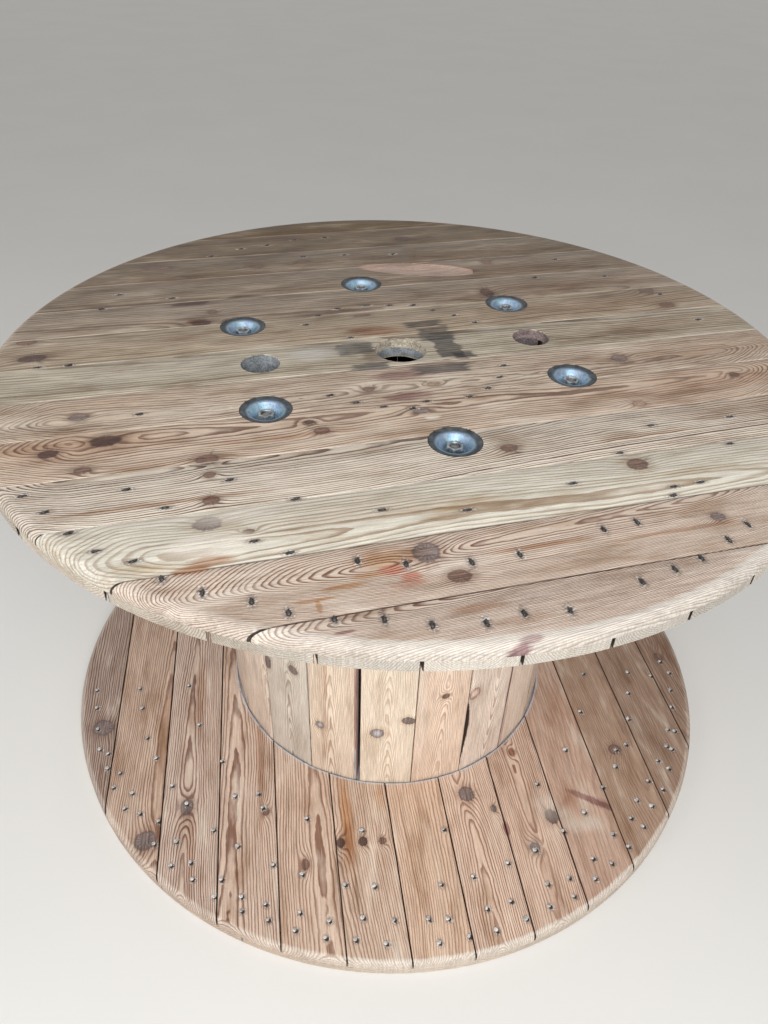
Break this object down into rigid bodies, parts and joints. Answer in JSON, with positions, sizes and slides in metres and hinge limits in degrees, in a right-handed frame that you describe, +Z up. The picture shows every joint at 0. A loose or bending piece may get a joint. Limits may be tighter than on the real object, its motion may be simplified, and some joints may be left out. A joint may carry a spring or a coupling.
{
  "type": "wooden cable drum",
  "caption": "Wooden cable drum on end: two crossed-board round flanges, a hollow core of upright staves, and tie rods with sunk dished washers and nuts",
  "frame": {"origin": "on the floor, on the drum's axis", "axes": "+Z up along the drum's axis; +X along the boards of the top face and through the two drive holes; the picture looks from the -Y side"},
  "size_m": [1.4, 1.4, 0.83],
  "materials": {
    "top_face_pine": "worn sanded pine, greyed",
    "top_inner_pine": "sawn pine with a pale sanded rim",
    "bottom_face_pine": "browned pine with open grain",
    "bottom_outer_pine": "browned pine",
    "stave_pine": "planed pale pine",
    "rod_steel": "dull rolled steel with some rust",
    "washer_zinc": "galvanised, dirty at the rim",
    "nut_steel": "dull plated steel with some rust"
  },
  "bodies": {
    "root": {"top_outer_board_01": "top_face_pine", "top_outer_board_02": "top_face_pine", "top_outer_board_03": "top_face_pine", "top_outer_board_04": "top_face_pine", "top_outer_board_05": "top_face_pine", "top_outer_board_06": "top_face_pine", "top_outer_board_07": "top_face_pine", "top_outer_board_08": "top_face_pine", "top_outer_board_09": "top_face_pine", "top_outer_board_10": "top_face_pine", "top_outer_board_11": "top_face_pine", "top_outer_board_12": "top_face_pine", "top_outer_board_13": "top_face_pine", "top_inner_boards": "top_inner_pine", "bottom_inner_board_01": "bottom_face_pine", "bottom_inner_board_02": "bottom_face_pine", "bottom_inner_board_03": "bottom_face_pine", "bottom_inner_board_04": "bottom_face_pine", "bottom_inner_board_05": "bottom_face_pine", "bottom_inner_board_06": "bottom_face_pine", "bottom_inner_board_07": "bottom_face_pine", "bottom_inner_board_08": "bottom_face_pine", "bottom_inner_board_09": "bottom_face_pine", "bottom_inner_board_10": "bottom_face_pine", "bottom_inner_board_11": "bottom_face_pine", "bottom_inner_board_12": "bottom_face_pine", "bottom_inner_board_13": "bottom_face_pine", "bottom_outer_boards": "bottom_outer_pine", "core_stave_01": "stave_pine", "core_stave_02": "stave_pine", "core_stave_03": "stave_pine", "core_stave_04": "stave_pine", "core_stave_05": "stave_pine", "core_stave_06": "stave_pine", "core_stave_07": "stave_pine", "core_stave_08": "stave_pine", "core_stave_09": "stave_pine", "core_stave_10": "stave_pine", "core_stave_11": "stave_pine", "core_stave_12": "stave_pine", "core_stave_13": "stave_pine", "core_stave_14": "stave_pine", "core_stave_15": "stave_pine", "core_stave_16": "stave_pine", "core_stave_17": "stave_pine", "core_stave_18": "stave_pine", "core_stave_19": "stave_pine", "core_stave_20": "stave_pine", "core_stave_21": "stave_pine", "tie_rod_01": "rod_steel", "tie_rod_02": "rod_steel", "tie_rod_03": "rod_steel", "tie_rod_04": "rod_steel", "tie_rod_05": "rod_steel", "tie_rod_06": "rod_steel", "top_washers": "washer_zinc", "bottom_washers": "washer_zinc", "top_nuts": "nut_steel", "bottom_nuts": "nut_steel"}
  },
  "joints": []
}
